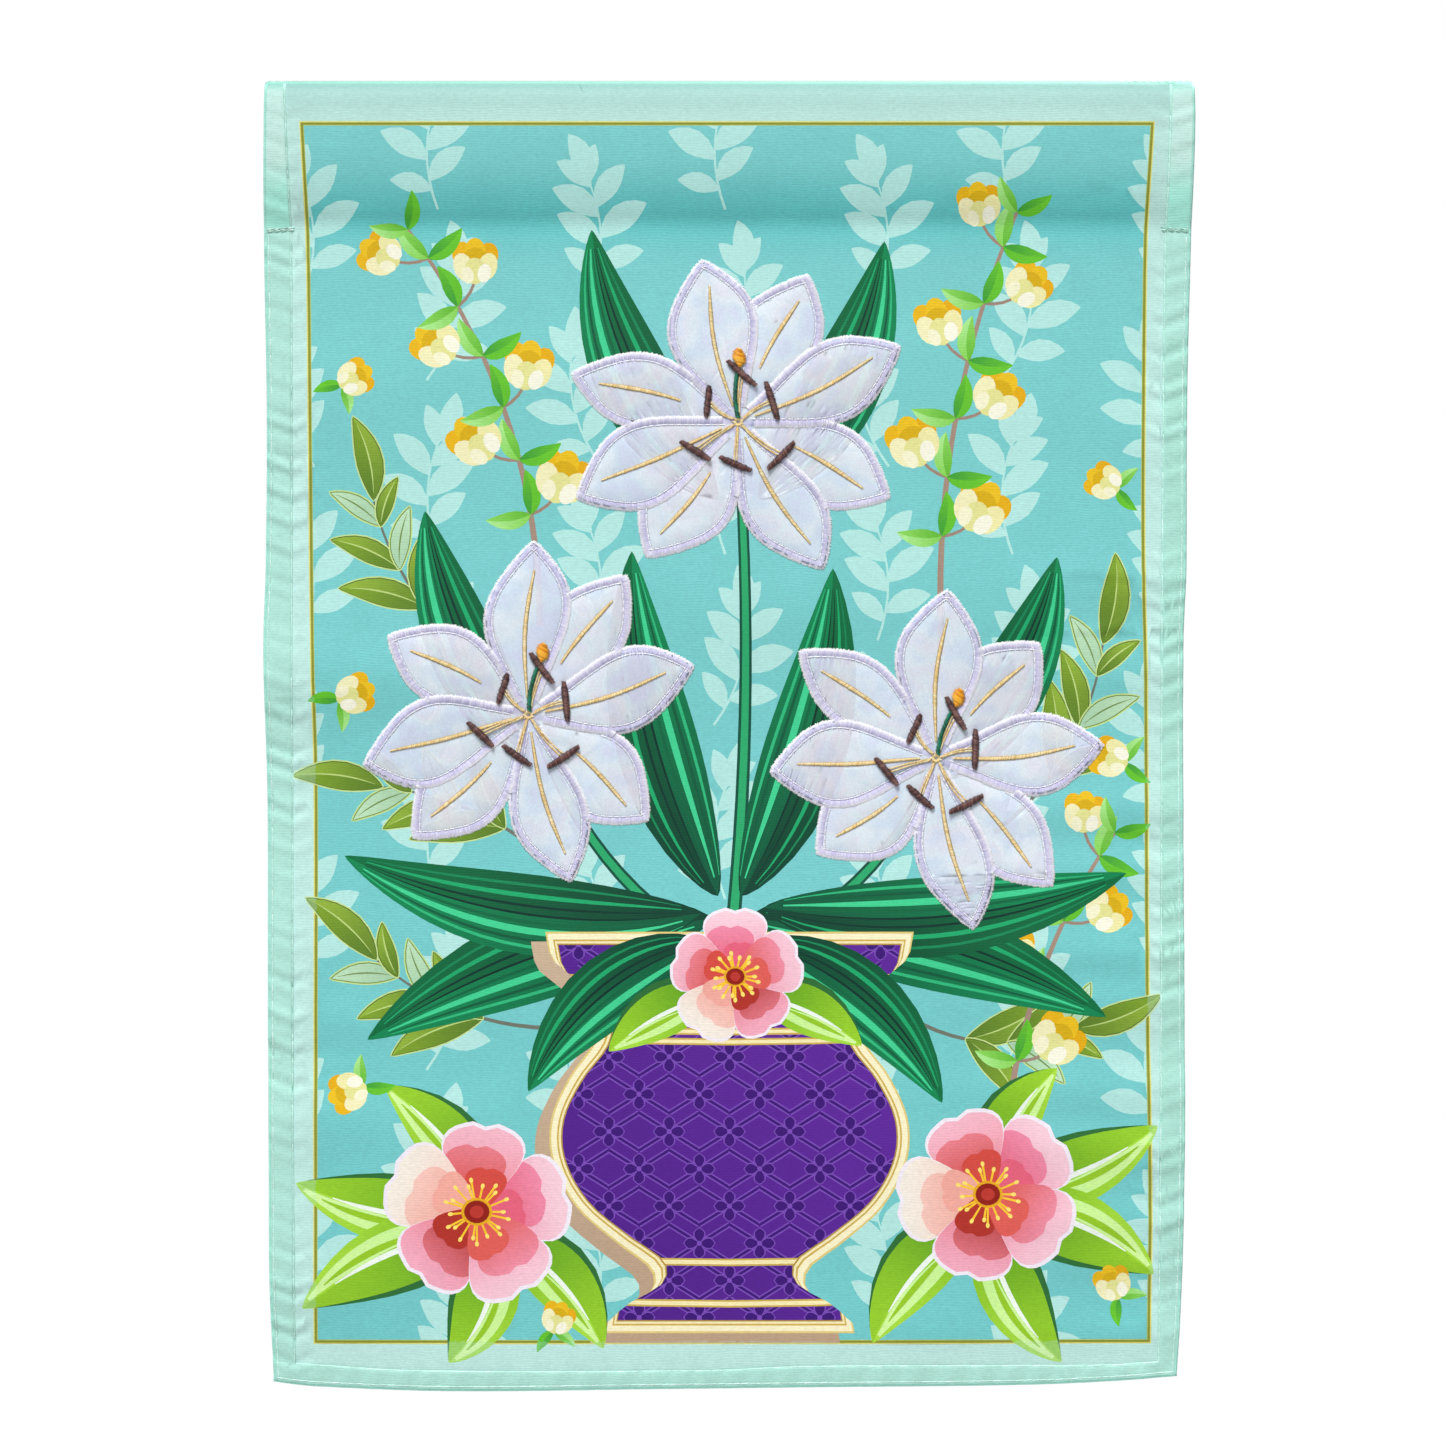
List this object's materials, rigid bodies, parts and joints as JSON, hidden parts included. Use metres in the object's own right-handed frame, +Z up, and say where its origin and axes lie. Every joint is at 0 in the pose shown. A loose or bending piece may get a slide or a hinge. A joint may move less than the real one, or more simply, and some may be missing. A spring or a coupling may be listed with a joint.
{
  "type": "applique garden flag",
  "caption": "Small hung cloth flag of two layers with an open rod sleeve along its top, folded hems and applique flowers on the front.",
  "frame": {"origin": "middle of the sleeve's top edge, where the flag hangs from its rod", "axes": "+X to the right as seen from the front, +Y away from the viewer, so the front faces -Y, +Z up"},
  "size_m": [0.3241, 0.0146, 0.4572],
  "materials": {
    "front_cloth": "matt printed polyester with a fine horizontal rib",
    "sleeve_cloth": "matt printed polyester with a fine horizontal rib",
    "back_cloth": "matt printed polyester with a fine horizontal rib",
    "applique_satin": "pearly white satin with satin stitched edges",
    "sewing_thread": "shiny embroidery and seam thread"
  },
  "bodies": {
    "root": {"rod_sleeve": "sleeve_cloth", "front_panel": "front_cloth", "back_panel": "back_cloth", "flower_left": "applique_satin", "flower_top": "applique_satin", "flower_right": "applique_satin"}
  },
  "joints": []
}
